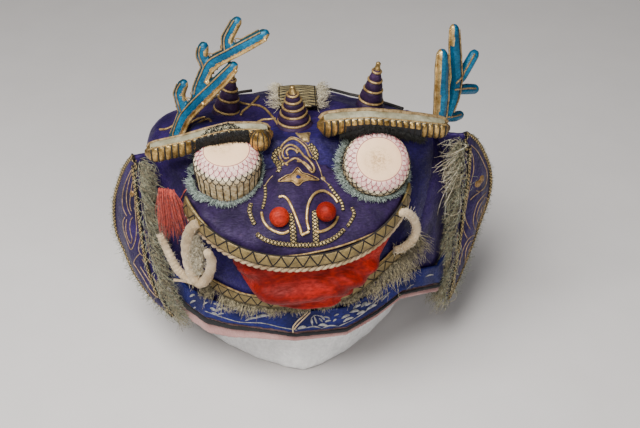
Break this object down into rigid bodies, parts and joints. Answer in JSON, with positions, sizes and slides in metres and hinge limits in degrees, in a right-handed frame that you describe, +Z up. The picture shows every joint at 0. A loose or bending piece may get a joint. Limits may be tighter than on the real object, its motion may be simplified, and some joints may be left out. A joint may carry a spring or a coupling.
{
  "type": "qilin hat on a foam stand",
  "caption": "Child's padded satin festival hat with an animal's face, horns, antlers and fringed ears, standing on a plain foam block.",
  "frame": {"origin": "middle of the foam stand's flat base, on the surface it stands on", "axes": "+Z up, -Y the way the face looks, +X towards the viewer's right"},
  "size_m": [0.2303, 0.1876, 0.2067],
  "materials": {
    "violet_satin": "satin",
    "foam": "matte felt-like foam",
    "blue_satin": "satin with silver-white embroidery",
    "black_cloth": "matte",
    "pink_cloth": "matte",
    "gold_braid": "metallic thread braid",
    "cream_cord": "matte felt",
    "red_satin": "satin",
    "red_bead": "satin",
    "eye_cloth": "matte padded cloth",
    "green_fringe": "fringe",
    "tan_fur": "fringe",
    "turquoise_satin": "satin",
    "coral_thread": "thread"
  },
  "bodies": {
    "root": {"crown": "violet_satin", "face_pad": "violet_satin", "muzzle": "violet_satin", "nose_pad": "violet_satin", "horn_center": "violet_satin", "horn_left": "violet_satin", "horn_right": "violet_satin", "ear_left": "violet_satin", "ear_right": "violet_satin", "foam_stand": "foam", "rim_band": "blue_satin", "rim_binding": "black_cloth", "rim_lining": "pink_cloth", "crown_wire_left": "black_cloth", "crown_wire_right": "black_cloth", "upper_lip": "gold_braid", "lower_lip": "gold_braid", "nostril_ring_left": "gold_braid", "nostril_ring_right": "gold_braid", "brow_left": "gold_braid", "brow_right": "gold_braid", "ear_trim_left": "gold_braid", "ear_trim_right": "gold_braid", "spine_band": "gold_braid", "upper_lip_piping": "cream_cord", "tusk_left": "cream_cord", "tusk_right": "cream_cord", "tongue": "red_satin", "nostril_left": "red_bead", "nostril_right": "red_bead", "eye_left": "eye_cloth", "eye_right": "eye_cloth", "eye_ruff_left": "green_fringe", "eye_ruff_right": "green_fringe", "cheek_fringe_left": "green_fringe", "cheek_fringe_right": "green_fringe", "ear_fringe_left": "green_fringe", "ear_fringe_right": "green_fringe", "jaw_fringe": "tan_fur", "spine_fur_left": "tan_fur", "spine_fur_right": "tan_fur", "antler_left": "turquoise_satin", "antler_right": "turquoise_satin", "tassel": "coral_thread"}
  },
  "joints": []
}
